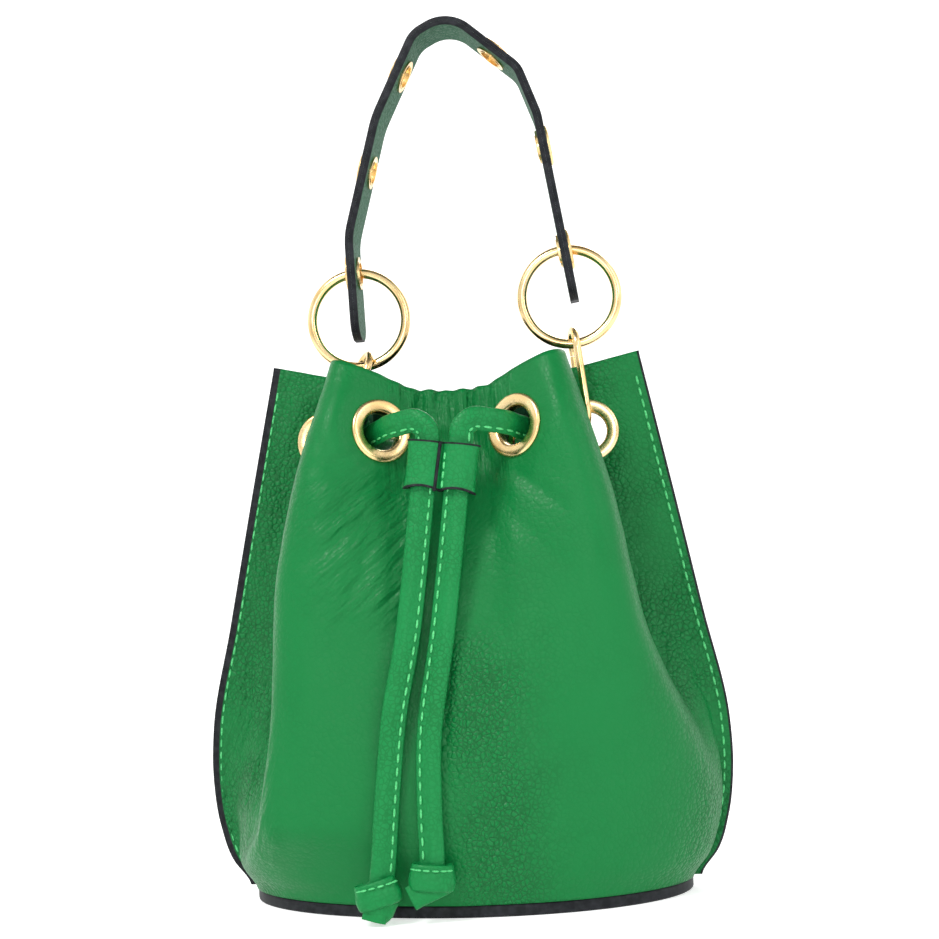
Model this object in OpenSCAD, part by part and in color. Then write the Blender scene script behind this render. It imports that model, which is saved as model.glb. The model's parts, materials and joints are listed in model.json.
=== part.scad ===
// Drawstring bucket bag: two gathered leather panels on an oval sole, with a
// drawstring through mouth grommets and a short handle on rings and gate links.
// +X is the wearer's right side of the front, -Y is the front, +Z is up.
// The origin is the centre of the underside of the sole.

/* [Body] */
// Height of the side seams above the ground
seam_h = 206.5; // [180:0.5:250]
// Width over the side seams at their widest
body_w = 202; // [170:1:240]
// Depth of the bag, front to back, at its fullest
body_d = 116; // [95:1:130]
// Thickness of the panel leather
leather_t = 1.6; // [1:0.1:2.2]
// Width of the flat seam allowance at each side
seam_w = 6; // [4:0.5:9]

/* [Base] */
// Length of the oval sole
base_l = 168; // [140:1:180]
// Width of the oval sole
base_w = 105; // [85:1:112]
// Thickness of the sole
base_t = 4.5; // [3:0.5:7]
// Thickness of the stiffening board inside
board_t = 2; // [1:0.5:4]
// Gap all round between the board and the walls
board_gap = 2; // [0.5:0.5:4]

/* [Mouth] */
// Depth of the dip in the top edge at the middle of the front and back
dip_drop = 15.5; // [0:0.5:25]
// Outer diameter of a mouth grommet
grommet_od = 24; // [20:0.5:26]
// Clear bore of a mouth grommet
grommet_bore = 14.6; // [12:0.2:15.6]
// Distance of the grommets below the top of the side seams
grommet_drop = 30.5; // [26:0.5:40]
// Distance of the side grommets from the middle
grommet_x = 51; // [48:0.5:54]

/* [Drawstring] */
// Width of the flat drawstring
cord_w = 9; // [6:0.5:9]
// Thickness of the flat drawstring
cord_t = 4; // [2.5:0.5:4.5]
// Height of the slider
slider_h = 18; // [12:1:26]
// Thickness of the slider leather
slider_wall = 1.6; // [1:0.1:2.2]
// Play of the drawstring in the slider
slider_play = 0.5; // [0.4:0.1:1.2]

/* [Handle] */
// Width of the strap
strap_w = 21; // [18:0.5:28]
// Thickness of one of the two strap plies
ply_t = 1.7; // [1:0.1:2]
// Diameter of the rings, measured outside
ring_od = 41; // [36:0.5:46]
// Thickness of the ring wire
ring_wire = 3.8; // [3:0.1:4.4]
// Outer diameter of a strap eyelet
eyelet_od = 16; // [14:0.5:17]
// Clear bore of a strap eyelet
eyelet_bore = 8.4; // [7.5:0.1:9]
// Length of a gate link, measured outside
link_l = 40; // [38:0.5:44]
// Width of a gate link, measured outside
link_w = 18; // [17:0.5:20]
// Thickness of the link wire
link_wire = 3; // [2.4:0.1:3.4]

/* [Hidden] */
$fn = 48;
GREEN = [0.06, 0.50, 0.22];
DARK = [0.05, 0.05, 0.06];
GOLD = [0.86, 0.72, 0.44];
BOARD = [0.45, 0.38, 0.30];

LEFT = -1;
RIGHT = 1;
function side_n(side) = side == LEFT ? 0 : 1;

// ---- panel shape ----
COLS = 26;              // columns from the middle to one seam
ROWS = 22;              // rows from the sole to the top edge
CTRL = 11;              // control points from the middle to one seam
SEAM_GAP = 0.05;        // half of the gap between the two seam allowances
flat_y = leather_t / 2 + SEAM_GAP;
wide = body_w / 202;    // share of the drawn width
deep = body_d / 116;    // share of the drawn depth
rise = seam_h - 206.5;  // how much taller than drawn
MOUTH_FROM = 143;       // drawn height above which the mouth keeps its shape
grommet_h = seam_h - grommet_drop;
dip_h = seam_h - dip_drop;
// Height in the tables below: the body stretches and the mouth moves up whole
function drawn(z) = z > MOUTH_FROM + rise ? z - rise : z * MOUTH_FROM / (MOUTH_FROM + rise);

// Half width of the seams, from the sole up
function seam_x(z) = wide * lookup(drawn(z),
    [[0, 87], [5, 87.5], [14, 94], [27, 98.5], [45, 101], [65, 100.5], [105, 92.5], [150, 83.5], [206, 72]]);
// Half width of the standing folds
function fold_x(z) = wide * lookup(drawn(z),
    [[38, 72], [60, 69], [96, 65.5], [122, 64], [150, 59], [176, 51.5], [206, 43]]);
// How much of the fold has formed: none at the sole, all at the mouth, and sooner on the left
FOLD_FROM = [8, 25];
FOLD_OVER = [28, 108];
function fold_share(z, side) = ease((drawn(z) - FOLD_FROM[side_n(side)]) / FOLD_OVER[side_n(side)]);
// Depth of the middle, of the fold ridges and of the fold roots
function mid_y(z) = deep * lookup(drawn(z), [[0, 52.2], [5, 52.4], [15, 55], [40, 58], [80, 57], [120, 54], [150, 45], [176, 34], [206, 24]]);
function ridge_y(z) = deep * lookup(drawn(z), [[0, 52.2], [5, 52.4], [15, 55], [40, 58], [120, 57], [150, 55], [176, 52], [206, 41]]);
function root_y(z) = lookup(drawn(z), [[35, 34], [60, 22], [100, 13], [150, 5], [170, 3], [206, 3]]);
function root_x(z) = wide * lookup(drawn(z), [[35, 74], [60, 66], [100, 54], [150, 37], [170, 31], [190, 29], [206, 26]]);

function ease(t) = let(c = min(1, max(0, t))) c * c * (3 - 2 * c);
function mix(a, b, t) = a + (b - a) * t;

OVAL_ANGLES = [0, 13, 26, 39, 52, 63, 72, 79, 85];
// Control point i of the half section at height z
SEAM_IN = 3.5;          // the oval lies this far inside the seams
function oval_point(i, z) = [(seam_x(z) - SEAM_IN) * sin(OVAL_ANGLES[i]), -ridge_y(z) * cos(OVAL_ANGLES[i])];
function fold_point(i, z) = let(
        f = fold_x(z), m = mid_y(z), d = ridge_y(z), r = root_y(z), x = root_x(z), w = seam_x(z)
    ) [
        [0, -m], [0.2 * f, -m], [0.38 * f, -mix(m, d, 0.2)], [0.6 * f, -mix(m, d, 0.66)],
        [0.84 * f, -1.02 * d], [f, -0.92 * d], [f, -mix(r, d, 0.45)], [x, -r],
        [mix(x, w, 0.45), -max(2.4, 0.6 * r)]
    ][i];
function control(i, z, side) =
    i >= CTRL - 1 ? [seam_x(z), -flat_y] :
    i == CTRL - 2 ? [seam_x(z) - 1.3 * seam_w, -flat_y] :
    mix(oval_point(i, z), fold_point(i, z), fold_share(z, side));

// Height of the top edge at share u of the way from the middle to the seam
function top_z(u) = lookup(u, [[0, dip_h], [0.12, rise + 192.5], [0.3, rise + 199.5], [0.42, rise + 203],
    [0.58, rise + 203], [0.72, rise + 199.5], [1, seam_h]]);

// Point of the leather's mid surface
function section(u, z, side) = let(
        s = min(u * (CTRL - 2), CTRL - 2 - 1e-6), i = floor(s), t = s - i,
        b = control(i + 1, z, side),
        a = i == 0 ? control(0, z, side) : (control(i, z, side) + b) / 2,
        c = i == CTRL - 3 ? control(CTRL - 1, z, side) : (b + control(i + 2, z, side)) / 2,
        p = (1 - t) * (1 - t) * a + 2 * t * (1 - t) * b + t * t * c
    ) [side * p.x, p.y, z];

// ---- mouth grommets: place and outward direction ----
GROMMET_Y = 2.3;            // mid surface of the wing leather at a side grommet
FLAT_R = 5;                 // flat leather left around a flange
BLEND_R = 9;                // distance over which the flat runs out
FLAT_REACH = 9;             // leather further than this from a flange stays as it is
INNER_U = 2 / (CTRL - 2);   // where the fold's inner flank is straight
function unit(v) = v / norm(v);
function inner_axis(side) = let(
        z = grommet_h, e = 0.01,
        du = section(INNER_U + e, z, side) - section(INNER_U - e, z, side),
        dz = section(INNER_U, z + 4, side) - section(INNER_U, z - 4, side)
    ) unit(side * cross(du, dz));
// The side grommets stand clear of the fold roots
ROOT_ROOM = 8;
side_x = max(grommet_x, root_x(grommet_h) + grommet_od / 2 + ROOT_ROOM);
GROMMETS = [for (side = [LEFT, RIGHT])
    each [[section(INNER_U, grommet_h, side), inner_axis(side)],
          [[side * side_x, -GROMMET_Y, grommet_h], [0, -1, 0]]]];

function pull(p, i) = let(
        g = GROMMETS[i], v = p - g[0], d = v * g[1], r = norm(v - d * g[1]),
        w = abs(d) > FLAT_REACH ? 0 : 1 - ease((r - grommet_od / 2 - FLAT_R) / BLEND_R)
    ) p - w * d * g[1];
function flatten(p) = pull(pull(pull(pull(p, 0), 1), 2), 3);

function sheet_point(j, i) = let(
        side = j < 0 ? LEFT : RIGHT, u = abs(j) / COLS,
        z = base_t + (top_z(u) - base_t) * i / ROWS
    ) flatten(section(u, z, side));

SHEET = [for (j = [-COLS:COLS]) [for (i = [0:ROWS]) sheet_point(j, i)]];
function sheet_normal(j, i) = let(
        a = SHEET[max(0, j - 1)][i], b = SHEET[min(2 * COLS, j + 1)][i],
        c = SHEET[j][max(0, i - 1)], d = SHEET[j][min(ROWS, i + 1)], n = cross(b - a, d - c)
    ) unit(i == 0 ? [n.x, n.y, 0] : n);

// ---- handle places ----
// The rings stand on the links, so the strap goes up with the mouth, the rings and the links
ring_r = (ring_od - ring_wire) / 2;
link_top = link_l - link_wire;
strap_up = rise + 2 * (ring_r - 18.6) + (link_top - 37);
STRAP_ROUTE = [for (p = [[-37.7, 215.5], [-39.2, 256], [-27, 302], [-11, 334.5], [3, 342], [29.5, 319],
    [36.5, 300], [48, 227]]) p + [0, strap_up]];
STRAP_BENDS = [0, 30, 40, 11, 14, 11, 20, 0];     // radius at each point of the route
// Eyelets: segment of the strap route and distance along it
EYELETS = [[0, 27], [1, 28], [2, 21.5], [4, 22.5], [6, 10.8], [6, 53]];

function seg_dir(i) = unit(STRAP_ROUTE[i + 1] - STRAP_ROUTE[i]);
function eyelet_at(k) = STRAP_ROUTE[EYELETS[k][0]] + EYELETS[k][1] * seg_dir(EYELETS[k][0]);
function eyelet_dir(k) = seg_dir(EYELETS[k][0]);

top_left = eyelet_at(0);
top_right = eyelet_at(5);
lean = atan2(top_right.y - top_left.y, top_right.x - top_left.x);   // tilt of the handle's axes
up = [-sin(lean), cos(lean)];
function ring_top(side) = side == LEFT ? top_left : top_right;
function ring_centre(side) = ring_top(side) - ring_r * up;
function ring_foot(side) = ring_top(side) - 2 * ring_r * up;

// ---- links ----
LINK_TWIST = [22, 8];       // turn of each link about its own length
LINK_RISE = [1, 3];         // height of the lower bend above the grommet's middle
GATE_FROM = 13;             // start of the gate, along the link
GATE_L = 14.5;              // length of the gate
GATE_GAP = 0.3;             // clearance at each end of the gate
PIN_D = 1.2;                // gate pin
PIN_PLAY = 0.15;            // clearance of the gate on its pin
TONGUE_T = 1;               // plate on the link that carries the pin
TONGUE_PLAY = 0.2;          // clearance of the gate's slot on each side of it
link_r = (link_w - link_wire) / 2;
pin_z = GATE_FROM + 1.6;
function link_foot(side) = [side * side_x, 0, grommet_h];
function link_lean(side) = atan2(ring_foot(side).x - side * side_x, ring_foot(side).y - grommet_h);

// ---- drawstring ----
SLIDER_AT = [-1.3, -56.9, 161];
SLIDER_UP = unit([0.13, 0.06, 1]);     // the slider runs on the straight upper tails, along this line
slot_x = (cord_w + 2 * slider_play + slider_wall + 0.6) / 2;
// Routes of the drawstring: from the slider round the mouth and back, then the two tails
LOOP = [[-7.4, -56.9, 162], [-6.2, -56.3, 171], [-6.8, -56, 175.4], [-11, -54.8, 178.4], [-17, -51.5, 177.8],
    [-22, -47, 177], [-25.4, -41.8, 176], [-30, -35, 174.7], [-31, -26, 174], [-29.5, 0, 174],
    [-31, 26, 174], [-30, 35, 174.7], [-25.4, 41.8, 176], [-21.5, 47.5, 177], [-13, 51, 177],
    [0, 51.5, 177], [13, 51, 177], [21.5, 47.5, 177], [25.4, 41.8, 176], [30, 35, 174.7],
    [31, 26, 174], [29.5, 0, 174], [31, -26, 174], [30, -35, 174.7], [25.4, -41.8, 176],
    [22, -47, 177], [16.5, -51.5, 177.8], [10.6, -54.8, 178.2], [6.6, -56, 175], [6.1, -56.3, 171],
    [4.9, -56.9, 162]];
TAIL_LEFT = [[-7.4, -56.9, 162], [-14.8, -60.4, 105], [-21, -61.6, 74], [-24.5, -61.8, 45], [-26.5, -61.8, 24],
    [-28, -62, 12]];
TAIL_RIGHT = [[4.9, -56.9, 162], [-2.5, -60.3, 105], [-8.6, -61.6, 68], [-9.6, -61.8, 40], [-9.4, -61.8, 27],
    [-9.5, -62, 18]];
KNOTS = [[-29, -62.5, 9.2], [-9.5, -62.5, 14.5]];
CORD_SIDES = 8;
STRAIGHT_ENDS = 2.5;        // route points at each end where the cord hangs down

function spline(p, s) = let(
        i = min(floor(s), len(p) - 2), t = s - i,
        a = i > 0 ? p[i - 1] : 2 * p[0] - p[1], b = p[i], c = p[i + 1],
        d = i + 2 < len(p) ? p[i + 2] : 2 * c - b
    ) b + 0.5 * t * (c - a + t * (2 * a - 5 * b + 4 * c - d + t * (3 * (b - c) + d - a)));

// A closed sheet of leather with its thickness laid half to each side of SHEET
module sheet_panel() {
    n = 2 * COLS + 1;
    m = ROWS + 1;
    outer = [for (j = [0:n - 1]) for (i = [0:m - 1]) SHEET[j][i] + leather_t / 2 * sheet_normal(j, i)];
    inner = [for (j = [0:n - 1]) for (i = [0:m - 1]) SHEET[j][i] - leather_t / 2 * sheet_normal(j, i)];
    o = n * m;
    polyhedron(
        points = concat(outer, inner),
        faces = [
            for (j = [0:n - 2]) for (i = [0:m - 2]) let(k = j * m + i) each [
                [k, k + 1, k + m + 1], [k, k + m + 1, k + m],
                [o + k, o + k + m + 1, o + k + 1], [o + k, o + k + m, o + k + m + 1]],
            for (j = [0:n - 2]) let(a = j * m, b = j * m + m - 1) each [
                [a, a + m, o + a + m], [a, o + a + m, o + a],
                [b, o + b + m, b + m], [b, o + b, o + b + m]],
            for (i = [0:m - 2]) let(a = i, b = (n - 1) * m + i) each [
                [a, o + a + 1, a + 1], [a, o + a, o + a + 1],
                [b, b + 1, o + b + 1], [b, o + b + 1, o + b]]]);
}

module along(p, v) {
    translate(p) rotate([0, acos(v.z), atan2(v.y, v.x)]) children();
}

// ---- mouth grommets ----
HOLE_PLAY = 0.1;            // around a barrel in its leather hole
SEAT = 0.05;                // between a flange and the leather
BARREL_T = 0.7;
WASHER_T = 0.8;
WASHER_OD = 21;
FLANGE_T = 1.25;
barrel_r = grommet_bore / 2 + BARREL_T;
face = leather_t / 2 + SEAT;

module panel() {
    color(GREEN) difference() {
        sheet_panel();
        for (g = GROMMETS) along(g[0], g[1])
            cylinder(r = barrel_r + HOLE_PLAY, h = 4 * leather_t, center = true);
    }
}
module front_panel() { panel(); }
module back_panel() { mirror([0, 1, 0]) panel(); }

module grommet(i) {
    r = grommet_od / 2;
    end = -face - WASHER_T - 0.2;
    color(GOLD) along(GROMMETS[i][0], GROMMETS[i][1]) rotate_extrude() polygon([
        [grommet_bore / 2, end], [barrel_r, end], [barrel_r, face], [r, face], [r, face + 0.3],
        [r - 1.2, face + 0.9], [r - 3, face + FLANGE_T], [barrel_r + 0.3, face + FLANGE_T],
        [grommet_bore / 2, face + 0.6]]);
}
module washer(i) {
    color(GOLD) along(GROMMETS[i][0], GROMMETS[i][1]) translate([0, 0, -face - WASHER_T]) difference() {
        cylinder(d = WASHER_OD, h = WASHER_T);
        translate([0, 0, -1]) cylinder(r = barrel_r + HOLE_PLAY, h = WASHER_T + 2);
    }
}
module behind() { mirror([0, 1, 0]) children(); }
FRONT_LEFT = 0;
SIDE_LEFT = 1;
FRONT_RIGHT = 2;
SIDE_RIGHT = 3;

// ---- sole ----
module oval(l, w) {
    polygon([for (a = [0:5:355]) [l / 2 * cos(a), w / 2 * sin(a)]]);
}
module base_sole() { color(DARK) linear_extrude(base_t) oval(base_l, base_w); }
// The board keeps clear of the walls, which stand on the sole or inside its edge
wall_l = 2 * (seam_x(base_t) - SEAM_IN) - leather_t;
wall_w = 2 * ridge_y(base_t) - leather_t;
module base_board() {
    color(BOARD) translate([0, 0, base_t]) linear_extrude(board_t)
        oval(min(base_l - 2 * leather_t, wall_l) - 2 * board_gap, min(base_w - 2 * leather_t, wall_w) - 2 * board_gap);
}

// ---- drawstring ----
// Flat tube along a route, steps rings to each stretch of it
module flat_tube(route, steps, thick_dir) {
    rings = (len(route) - 1) * steps;
    points = [for (k = [0:rings]) let(
            s = k / steps, p = spline(route, s),
            t = unit(spline(route, min(s + 0.05, len(route) - 1)) - spline(route, max(s - 0.05, 0))),
            across = unit(cross(t, thick_dir(s, t))), out = cross(across, t)
        ) for (q = [0:CORD_SIDES - 1]) let(a = (q + 0.5) * 360 / CORD_SIDES)
            p + 1.08 * (cord_w / 2 * cos(a) * across + cord_t / 2 * sin(a) * out)];
    polyhedron(points = points, faces = [
        [for (q = [CORD_SIDES - 1:-1:0]) q],
        [for (q = [0:CORD_SIDES - 1]) rings * CORD_SIDES + q],
        for (k = [0:rings - 1]) for (q = [0:CORD_SIDES - 1]) let(
            a = k * CORD_SIDES + q, b = k * CORD_SIDES + (q + 1) % CORD_SIDES
        ) each [[a, b, a + CORD_SIDES], [b, b + CORD_SIDES, a + CORD_SIDES]]]);
}
hanging = function(s, t) [0, 1, 0];
looped = function(s, t) s < STRAIGHT_ENDS || s > len(LOOP) - 1 - STRAIGHT_ENDS ? [0, 1, 0] : [t.y, -t.x, 0];
module drawstring() { color(GREEN) flat_tube(LOOP, 3, looped); }
module tail_left() { color(GREEN) flat_tube(TAIL_LEFT, 4, hanging); }
module tail_right() { color(GREEN) flat_tube(TAIL_RIGHT, 4, hanging); }

module knot(at, w, h) {
    color(GREEN) translate(at) hull() {
        for (x = [-1, 1]) translate([x * (w / 2 - 4), 0, 1]) sphere(d = 8, $fn = 20);
        for (z = [-1, 1]) translate([z, 0, z * (h / 2 - 3.5)]) sphere(d = 7, $fn = 20);
    }
}
module knot_left() { knot(KNOTS[0], 18, 16.5); }
module knot_right() { knot(KNOTS[1], 17, 14); }

module stadium(w, t) {
    square([w - t, t], center = true);
    for (x = [-1, 1]) translate([x * (w - t) / 2, 0]) circle(d = t);
}
module slider() {
    slot_w = cord_w + 2 * slider_play;
    slot_t = cord_t + 2 * slider_play;
    color(GREEN) translate(SLIDER_AT) rotate([0, atan2(SLIDER_UP.x, SLIDER_UP.z), 0]) rotate([-asin(SLIDER_UP.y), 0, 0])
        linear_extrude(slider_h, center = true) difference() {
            for (x = [-1, 1]) translate([x * slot_x, 0])
                stadium(slot_w + 2 * slider_wall, slot_t + 2 * slider_wall);
            for (x = [-1, 1]) translate([x * slot_x, 0]) stadium(slot_w, slot_t);
        }
}

// ---- strap ----
// Rounded route of the strap, moved sideways by off
function turn(i) = let(a = seg_dir(i - 1), b = seg_dir(i)) atan2(a.x * b.y - a.y * b.x, a * b);
function left_of(v) = [-v.y, v.x];
function strap_side(off) = [
    STRAP_ROUTE[0] + off * left_of(seg_dir(0)),
    for (i = [1:len(STRAP_ROUTE) - 2]) let(
        r = STRAP_BENDS[i], cut = r * tan(abs(turn(i)) / 2), s = sign(turn(i)),
        from = STRAP_ROUTE[i] - cut * seg_dir(i - 1), centre = from + s * r * left_of(seg_dir(i - 1))
    ) for (k = [0:6]) let(
        a = turn(i) * k / 6, v = -s * left_of(seg_dir(i - 1)),
        w = [v.x * cos(a) - v.y * sin(a), v.x * sin(a) + v.y * cos(a)]
    ) centre + (r - s * off) * w,
    STRAP_ROUTE[len(STRAP_ROUTE) - 1] + off * left_of(seg_dir(len(STRAP_ROUTE) - 2))];
function reversed(a) = [for (i = [len(a) - 1:-1:0]) a[i]];

module at_eyelet(k) {
    translate([eyelet_at(k).x, 0, eyelet_at(k).y])
        rotate([0, -atan2(left_of(eyelet_dir(k)).y, left_of(eyelet_dir(k)).x), 0]) rotate([0, 90, 0]) children();
}
EYELET_T = 0.6;             // wall of an eyelet's barrel
EYELET_HEAD = 1;
EYELET_WASHER_T = 0.7;
EYELET_WASHER_OD = 13;
eyelet_r = eyelet_bore / 2 + EYELET_T;

module ply(from, to) {
    difference() {
        rotate([90, 0, 0]) linear_extrude(strap_w, center = true)
            polygon(concat(strap_side(from), reversed(strap_side(to))));
        for (k = [0:5]) at_eyelet(k) cylinder(r = eyelet_r + HOLE_PLAY, h = 6 * ply_t, center = true);
    }
}
module strap_outer() { color(GREEN) ply(0, ply_t); }
module strap_lining() { color(GREEN) ply(-ply_t, 0); }
module eyelet(k) {
    r = eyelet_od / 2;
    f = ply_t + SEAT;
    end = -f - EYELET_WASHER_T - 0.15;
    color(GOLD) at_eyelet(k) rotate_extrude() polygon([
        [eyelet_bore / 2, end], [eyelet_r, end], [eyelet_r, f], [r, f], [r, f + 0.25],
        [r - 1.2, f + EYELET_HEAD], [eyelet_r, f + EYELET_HEAD], [eyelet_bore / 2, f + 0.4]]);
}
module eyelet_washers() {
    color(GOLD) for (k = [0:5]) at_eyelet(k) translate([0, 0, -ply_t - SEAT - EYELET_WASHER_T]) difference() {
        cylinder(d = EYELET_WASHER_OD, h = EYELET_WASHER_T);
        translate([0, 0, -1]) cylinder(r = eyelet_r + HOLE_PLAY, h = EYELET_WASHER_T + 2);
    }
}

// ---- rings ----
module ring(side) {
    color(GOLD) translate([ring_centre(side).x, 0, ring_centre(side).y]) rotate([90, 0, 0])
        rotate_extrude() translate([ring_r, 0]) circle(d = ring_wire, $fn = 32);
}

// ---- gate links ----
// A link's own frame: z along it from the middle of its lower bend, legs at -y and +y
module at_link(side) {
    translate(link_foot(side)) rotate([0, link_lean(side), 0])
        rotate([0, 0, LINK_TWIST[side_n(side)]]) translate([0, 0, LINK_RISE[side_n(side)]]) children();
}
module bend(z, start) {
    translate([0, 0, z]) rotate([90, 0, 90]) rotate([0, 0, start])
        rotate_extrude(angle = 180) translate([link_r, 0]) circle(d = link_wire, $fn = 32);
}
module leg(y, from, to) {
    translate([0, y, from]) cylinder(d = link_wire, h = to - from);
}
module pin_bore(extra) {
    translate([0, link_r, pin_z]) rotate([0, 90, 0]) cylinder(d = PIN_D + extra, h = link_wire + 1, center = true);
}
module link(side) {
    color(GOLD) at_link(side) difference() {
        union() {
            bend(link_r, 180);
            bend(link_top - link_r, 0);
            leg(-link_r, link_r, link_top - link_r);
            leg(link_r, link_r, GATE_FROM - GATE_GAP);
            leg(link_r, GATE_FROM + GATE_L + GATE_GAP, link_top - link_r);
            translate([0, link_r, GATE_FROM - 1]) linear_extrude(4.2) square([TONGUE_T, 2.2], center = true);
        }
        pin_bore(0);
    }
}
module gate(side) {
    color(GOLD) at_link(side) difference() {
        leg(link_r, GATE_FROM, GATE_FROM + GATE_L);
        translate([0, link_r, GATE_FROM - 1])
            linear_extrude(4.8) square([TONGUE_T + 2 * TONGUE_PLAY, link_wire + 2], center = true);
        pin_bore(2 * PIN_PLAY);
    }
}
module gate_pin(side) {
    color(GOLD) at_link(side) translate([0, link_r, pin_z]) rotate([0, 90, 0])
        cylinder(d = PIN_D, h = link_wire - 0.4, center = true);
}

front_panel();
back_panel();
base_sole();
base_board();
grommet(FRONT_LEFT);  // grommet_front_left
grommet(FRONT_RIGHT);  // grommet_front_right
behind() grommet(FRONT_LEFT);  // grommet_back_left
behind() grommet(FRONT_RIGHT);  // grommet_back_right
grommet(SIDE_LEFT);  // side_grommet_front_left
grommet(SIDE_RIGHT);  // side_grommet_front_right
behind() grommet(SIDE_LEFT);  // side_grommet_back_left
behind() grommet(SIDE_RIGHT);  // side_grommet_back_right
washer(FRONT_LEFT);  // washer_front_left
washer(FRONT_RIGHT);  // washer_front_right
behind() washer(FRONT_LEFT);  // washer_back_left
behind() washer(FRONT_RIGHT);  // washer_back_right
washer(SIDE_LEFT);  // side_washer_front_left
washer(SIDE_RIGHT);  // side_washer_front_right
behind() washer(SIDE_LEFT);  // side_washer_back_left
behind() washer(SIDE_RIGHT);  // side_washer_back_right
drawstring();
tail_left();
tail_right();
knot_left();
knot_right();
slider();
strap_outer();
strap_lining();
eyelet(0);  // eyelet_1
eyelet(1);  // eyelet_2
eyelet(2);  // eyelet_3
eyelet(3);  // eyelet_4
eyelet(4);  // eyelet_5
eyelet(5);  // eyelet_6
eyelet_washers();
ring(LEFT);  // ring_left
ring(RIGHT);  // ring_right
link(LEFT);  // link_left
link(RIGHT);  // link_right
gate(LEFT);  // gate_left
gate(RIGHT);  // gate_right
gate_pin(LEFT);  // gate_pin_left
gate_pin(RIGHT);  // gate_pin_right
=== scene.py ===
# %% [markdown]
# # A drawstring bucket bag
# The bag's frame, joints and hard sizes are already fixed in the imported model. This lesson adds the leather, the
# thread, the polished hardware and the light. Everything is in metres, in the model's own frame.

import json
import math

import bpy
import numpy as np
from mathutils import Matrix, Vector


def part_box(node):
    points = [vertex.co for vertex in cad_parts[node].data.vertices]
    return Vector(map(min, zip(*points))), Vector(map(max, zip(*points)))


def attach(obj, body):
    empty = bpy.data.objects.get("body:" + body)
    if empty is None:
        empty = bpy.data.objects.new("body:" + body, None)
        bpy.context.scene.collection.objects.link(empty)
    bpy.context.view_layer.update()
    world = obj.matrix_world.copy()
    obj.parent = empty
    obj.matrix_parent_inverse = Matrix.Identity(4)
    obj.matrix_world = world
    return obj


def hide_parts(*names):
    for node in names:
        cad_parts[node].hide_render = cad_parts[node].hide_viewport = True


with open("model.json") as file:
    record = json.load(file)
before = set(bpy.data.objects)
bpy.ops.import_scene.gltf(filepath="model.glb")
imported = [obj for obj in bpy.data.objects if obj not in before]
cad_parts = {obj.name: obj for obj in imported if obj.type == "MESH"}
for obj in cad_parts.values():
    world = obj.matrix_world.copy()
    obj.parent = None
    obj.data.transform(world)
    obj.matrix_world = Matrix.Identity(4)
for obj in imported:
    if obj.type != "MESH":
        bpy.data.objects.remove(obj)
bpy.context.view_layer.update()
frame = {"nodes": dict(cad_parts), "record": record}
MM = 0.001
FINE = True
NODES = frame["nodes"]

# %% [markdown]
# ## Camera
# The camera stands just above the table and a little to the bag's right, and is tilted up a few degrees. A portrait
# lens a good arm's length away keeps the sides nearly parallel.

# %% Camera
CAMERA_AZIMUTH = math.radians(5.0)
CAMERA_DISTANCE = 0.67
CAMERA_HEIGHT = 0.126
CAMERA_PITCH = math.radians(3.16)
CAMERA_YAW = math.radians(0.345)
CAMERA_ROLL = math.radians(-2.2)
LENS, SENSOR = 65.6, 36  # millimetres


def add_camera():
    data = bpy.data.cameras.new("camera")
    data.lens = LENS
    data.sensor_width = SENSOR
    data.clip_start = 0.01
    camera = bpy.data.objects.new("camera", data)
    bpy.context.collection.objects.link(camera)
    camera.location = (CAMERA_DISTANCE * math.sin(CAMERA_AZIMUTH),
                       -CAMERA_DISTANCE * math.cos(CAMERA_AZIMUTH), CAMERA_HEIGHT)
    turn = (Matrix.Rotation(CAMERA_AZIMUTH - CAMERA_YAW, 4, "Z")
            @ Matrix.Rotation(math.pi / 2 + CAMERA_PITCH, 4, "X")
            @ Matrix.Rotation(CAMERA_ROLL, 4, "Z"))
    camera.rotation_euler = turn.to_euler()
    bpy.context.scene.camera = camera
    return camera


camera = add_camera()
print("camera at", [round(x, 3) for x in camera.location])

# %% [markdown]
# ## Mesh helpers
# Sheet leather and cords are swept surfaces, so they are written as grids of points. A grid becomes a mesh with one
# quad per cell; each finished object stays at the origin.

# %% Mesh helpers
def deselect():
    if bpy.context.object and bpy.context.object.mode != "OBJECT":
        bpy.ops.object.mode_set(mode="OBJECT")
    bpy.ops.object.select_all(action="DESELECT")


def focus(obj):
    deselect()
    obj.select_set(True)
    bpy.context.view_layer.objects.active = obj


def mesh_object(name, points, faces, materials, face_slots=None):
    mesh = bpy.data.meshes.new(name)
    mesh.from_pydata([tuple(p) for p in points], [], faces)
    for m in materials:
        mesh.materials.append(m)
    if face_slots is not None:
        mesh.polygons.foreach_set("material_index", face_slots)
    mesh.polygons.foreach_set("use_smooth", [True] * len(mesh.polygons))
    mesh.update()
    obj = bpy.data.objects.new(name, mesh)
    bpy.context.collection.objects.link(obj)
    return obj


def outward(obj):
    focus(obj)
    bpy.ops.object.mode_set(mode="EDIT")
    bpy.ops.mesh.select_all(action="SELECT")
    bpy.ops.mesh.remove_doubles(threshold=1e-6)
    bpy.ops.mesh.normals_make_consistent(inside=False)
    bpy.ops.object.mode_set(mode="OBJECT")
    return obj


def rim_quads(faces, shift):
    """Quads that close a sheet's open edges to its second skin, whose points come shift later in the list."""
    edges = {}
    for f in faces:
        for edge in zip(f, f[1:] + f[:1]):
            edges[edge] = True
    return [(b, a, a + shift, b + shift) for a, b in edges if (b, a) not in edges]


def smooth_by_angle(obj, degrees=35):
    focus(obj)
    bpy.ops.object.shade_smooth_by_angle(angle=math.radians(degrees))
    return obj


def finish_piece(obj, body, slot, *nodes):
    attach(obj, body)
    if nodes:
        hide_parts(*nodes)
    return obj


def unit(v):
    v = np.asarray(v, float)
    return v / np.maximum(np.linalg.norm(v, axis=-1, keepdims=True), 1e-12)


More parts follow.
